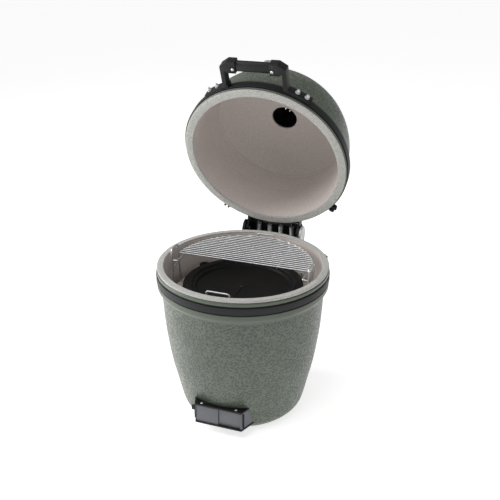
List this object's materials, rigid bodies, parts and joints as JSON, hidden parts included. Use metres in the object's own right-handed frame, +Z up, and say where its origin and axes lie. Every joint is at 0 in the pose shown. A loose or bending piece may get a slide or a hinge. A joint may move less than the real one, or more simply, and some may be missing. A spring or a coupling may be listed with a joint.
{
  "type": "kamado charcoal grill",
  "caption": "Egg-shaped ceramic charcoal grill on a round foot, its domed lid open on a spring hinge, with a wire basket, pan, half-moon grid, draft door and top vent.",
  "frame": {"origin": "centre of the round foot's underside, on the ground", "axes": "+Z up, -Y towards the front and the draft door, +Y towards the hinge, +X to the grill's right seen from the front"},
  "size_m": [0.552, 0.8027, 1.1184],
  "materials": {
    "glazed_shell": "dimpled sage green glaze, smooth on the collars",
    "fired_ceramic": "matt, unglazed",
    "felt": "speckled light grey felt",
    "band_paint": "charcoal powder coat",
    "black_paint": "satin black",
    "grip_plastic": "black, fine grain",
    "door_metal": "mid grey satin",
    "dark_steel": "black heat paint",
    "cast_iron": "black, seasoned",
    "steel": "polished",
    "cap_metal": "satin"
  },
  "bodies": {
    "base": {"base_shell": "glazed_shell", "base_gasket": "felt", "base_band": "band_paint", "base_clamp_bolt_left": "black_paint", "base_clamp_bolt_right": "black_paint", "fire_box": "fired_ceramic", "fire_box_foot": "fired_ceramic", "charcoal_grate": "cast_iron", "fire_ring": "fired_ceramic", "door_bottom_rail": "black_paint", "door_top_rail": "black_paint", "door_screw_left": "steel", "door_screw_right": "steel", "door_side_left": "door_metal", "door_side_right": "door_metal", "hinge_bracket": "black_paint", "hinge_cover": "black_paint", "lower_spring_bar": "black_paint", "hinge_pin_left": "steel", "hinge_pin_right": "steel", "hinge_cap_left": "cap_metal", "hinge_cap_right": "cap_metal", "spring_1": "steel", "spring_2": "steel", "spring_3": "steel", "spring_4": "steel"},
    "lid": {"lid_shell": "glazed_shell", "lid_gasket": "felt", "lid_band": "band_paint", "lid_clamp_bolt_left": "black_paint", "lid_clamp_bolt_right": "black_paint", "lid_hinge_bracket": "black_paint", "upper_spring_bar": "black_paint", "handle_bracket_left": "black_paint", "handle_bracket_right": "black_paint", "handle_grip": "grip_plastic", "handle_screw_left": "steel", "handle_screw_right": "steel", "acorn_bolt_left_1": "steel", "acorn_bolt_left_2": "steel", "acorn_bolt_right_1": "steel", "acorn_bolt_right_2": "steel", "thermometer_stem": "dark_steel", "thermometer_dial": "steel", "vent_ring": "cast_iron", "vent_pin": "steel", "chimney_liner": "cast_iron"},
    "vent_cap": {"vent_cap": "cast_iron"},
    "vent_dial": {"vent_dial": "cast_iron"},
    "door_panel_left": {"door_panel_left": "door_metal"},
    "door_panel_right": {"door_panel_right": "door_metal"},
    "ember_screen": {"ember_screen": "dark_steel"},
    "rack": {"rack_ledge": "steel", "rack_hoop_left": "steel", "rack_hoop_right": "steel"},
    "grid": {"half_grid": "steel"},
    "basket": {"basket_frame": "steel", "basket_handle_front": "steel", "basket_handle_back": "steel"},
    "pan": {"pan": "cast_iron"}
  },
  "joints": [
    {"name": "lid_hinge", "type": "hinge", "parent": "base", "child": "lid", "pos_m": [0, 0.3015, 0.4945], "axis": [1, 0, 0], "range_deg": [0, 67.55], "deforming": ["spring_1", "spring_2", "spring_3", "spring_4"]},
    {"name": "vent_cap_swing", "type": "hinge", "parent": "lid", "child": "vent_cap", "pos_m": [0, 0.51148, 0.83607], "axis": [0, 0.9242, 0.3819], "range_deg": [0, 110]},
    {"name": "vent_dial_turn", "type": "hinge", "parent": "vent_cap", "child": "vent_dial", "pos_m": [0, 0.48627, 0.89707], "axis": [0, 0.9242, 0.3819], "range_deg": [0, 30]},
    {"name": "left_panel_slide", "type": "slide", "parent": "base", "child": "door_panel_left", "axis": [1, 0, 0], "range_m": [0, 0.07]},
    {"name": "right_panel_slide", "type": "slide", "parent": "base", "child": "door_panel_right", "axis": [1, 0, 0], "range_m": [-0.065, 0]},
    {"name": "ember_screen_pull", "type": "slide", "parent": "base", "child": "ember_screen", "axis": [1, 0, 0], "range_m": [-0.09, 0]},
    {"name": "rack_lift", "type": "slide", "parent": "base", "child": "rack", "axis": [0, 0, 1], "range_m": [0, 0.05]},
    {"name": "grid_lift", "type": "slide", "parent": "rack", "child": "grid", "axis": [0, 0, 1], "range_m": [0, 0.05]},
    {"name": "basket_lift", "type": "slide", "parent": "base", "child": "basket", "axis": [0, 0, 1], "range_m": [0, 0.035]},
    {"name": "pan_lift", "type": "slide", "parent": "basket", "child": "pan", "axis": [0, 0, 1], "range_m": [0, 0.018]}
  ]
}
